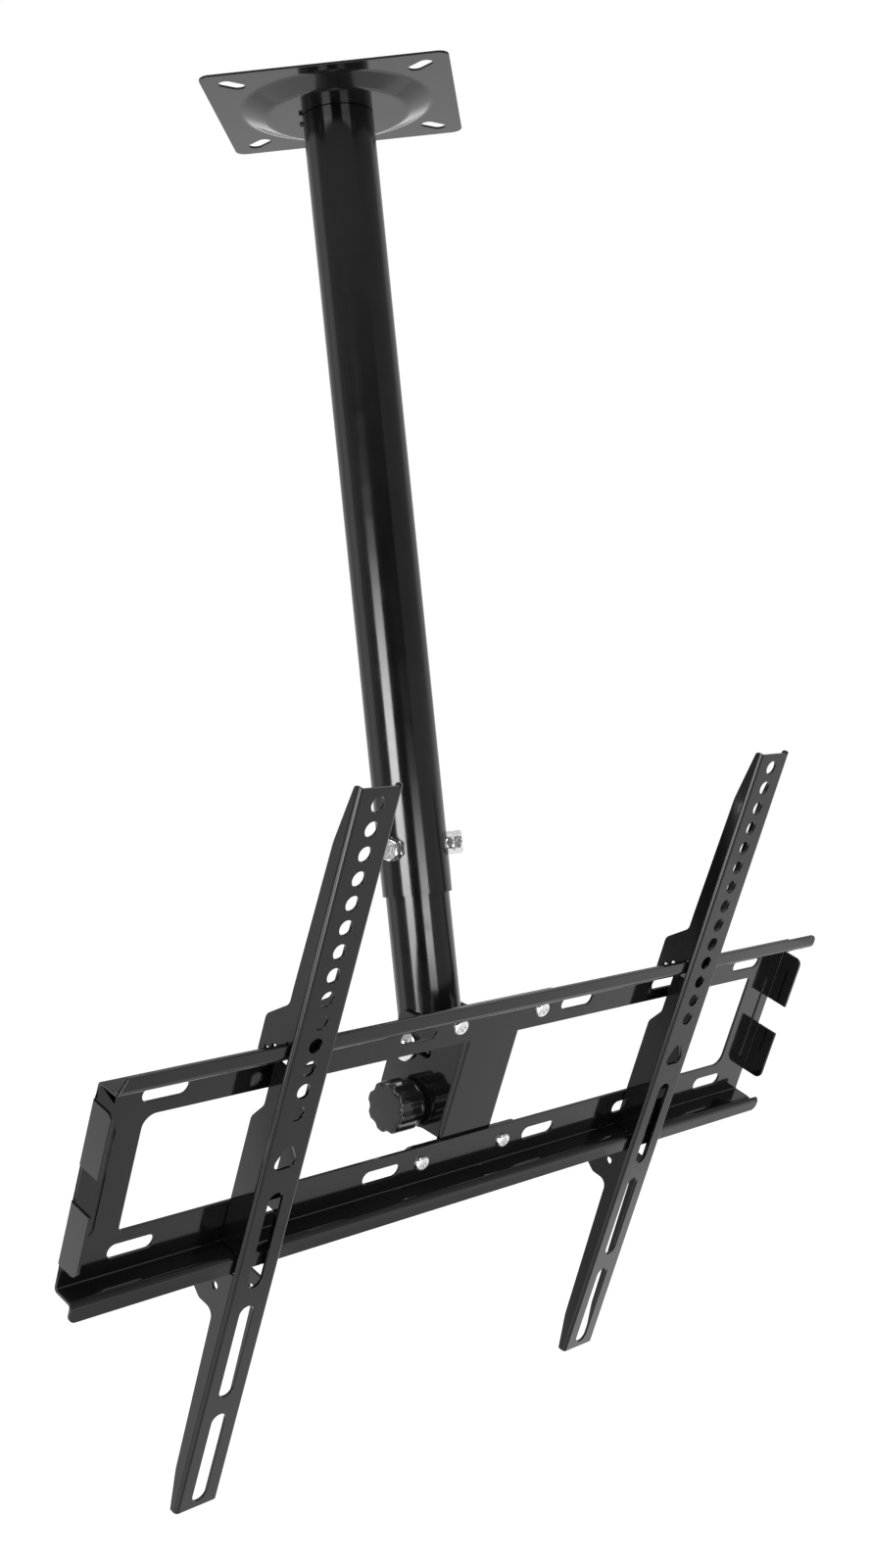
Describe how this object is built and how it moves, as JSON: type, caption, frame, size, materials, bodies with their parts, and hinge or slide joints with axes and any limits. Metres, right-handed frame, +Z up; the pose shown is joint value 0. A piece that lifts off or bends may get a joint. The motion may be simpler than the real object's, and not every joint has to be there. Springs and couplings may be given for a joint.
{
  "type": "tv ceiling mount",
  "caption": "Telescopic ceiling mount for a flat screen: slotted ceiling plate, swivelling pole, tilting head with knob, slotted panel frame and sliding screen arms.",
  "frame": {"origin": "middle of the ceiling plate's top face, in the plane that meets the ceiling", "axes": "+Z up into the ceiling, +X along the panel's rails to the right seen from the screen's side, front to -Y"},
  "size_m": [0.6155, 0.2674, 0.8553],
  "materials": {
    "plate_coat": "gloss black powder coat",
    "pole_coat": "gloss black powder coat",
    "panel_coat": "semi-gloss black powder coat",
    "arm_coat": "satin black powder coat",
    "zinc": "bright zinc plate",
    "black_screw": "black oxide",
    "knob_plastic": "moulded black nylon",
    "brass": "turned"
  },
  "bodies": {
    "ceiling": {"ceiling_plate": "plate_coat", "swivel_stub": "pole_coat"},
    "pole": {"outer_pole": "pole_coat", "set_screws": "black_screw", "clamp_screws": "zinc", "clamp_nuts": "zinc"},
    "drop_tube": {"inner_pole": "pole_coat", "tilt_bolt": "zinc", "tilt_washers": "zinc", "tilt_nut": "zinc"},
    "head": {"tilt_bracket": "panel_coat", "pivot_bolt": "zinc", "pivot_washers": "zinc", "panel_frame": "panel_coat", "frame_bolts": "zinc", "frame_nuts": "zinc"},
    "knob": {"tilt_knob": "knob_plastic", "knob_insert": "brass"},
    "arm_left": {"left_arm": "arm_coat"},
    "arm_right": {"right_arm": "arm_coat"}
  },
  "joints": [
    {"name": "swivel", "type": "hinge", "parent": "ceiling", "child": "pole", "pos_m": [0, 0, 0], "axis": [0, 0, 1], "continuous": true},
    {"name": "height", "type": "slide", "parent": "pole", "child": "drop_tube", "axis": [0, 0, 1], "range_m": [-0.26, 0.06]},
    {"name": "tilt", "type": "hinge", "parent": "drop_tube", "child": "head", "pos_m": [0, 0, -0.6353], "axis": [1, 0, 0], "range_deg": [-28.6, 1.4]},
    {"name": "knob_turn", "type": "hinge", "parent": "head", "child": "knob", "pos_m": [0, 0, -0.6353], "axis": [1, 0, 0], "continuous": true},
    {"name": "left_arm_slide", "type": "slide", "parent": "head", "child": "arm_left", "axis": [1, 0, 0], "range_m": [-0.108, 0.105]},
    {"name": "right_arm_slide", "type": "slide", "parent": "head", "child": "arm_right", "axis": [1, 0, 0], "range_m": [-0.102, 0.112]}
  ]
}
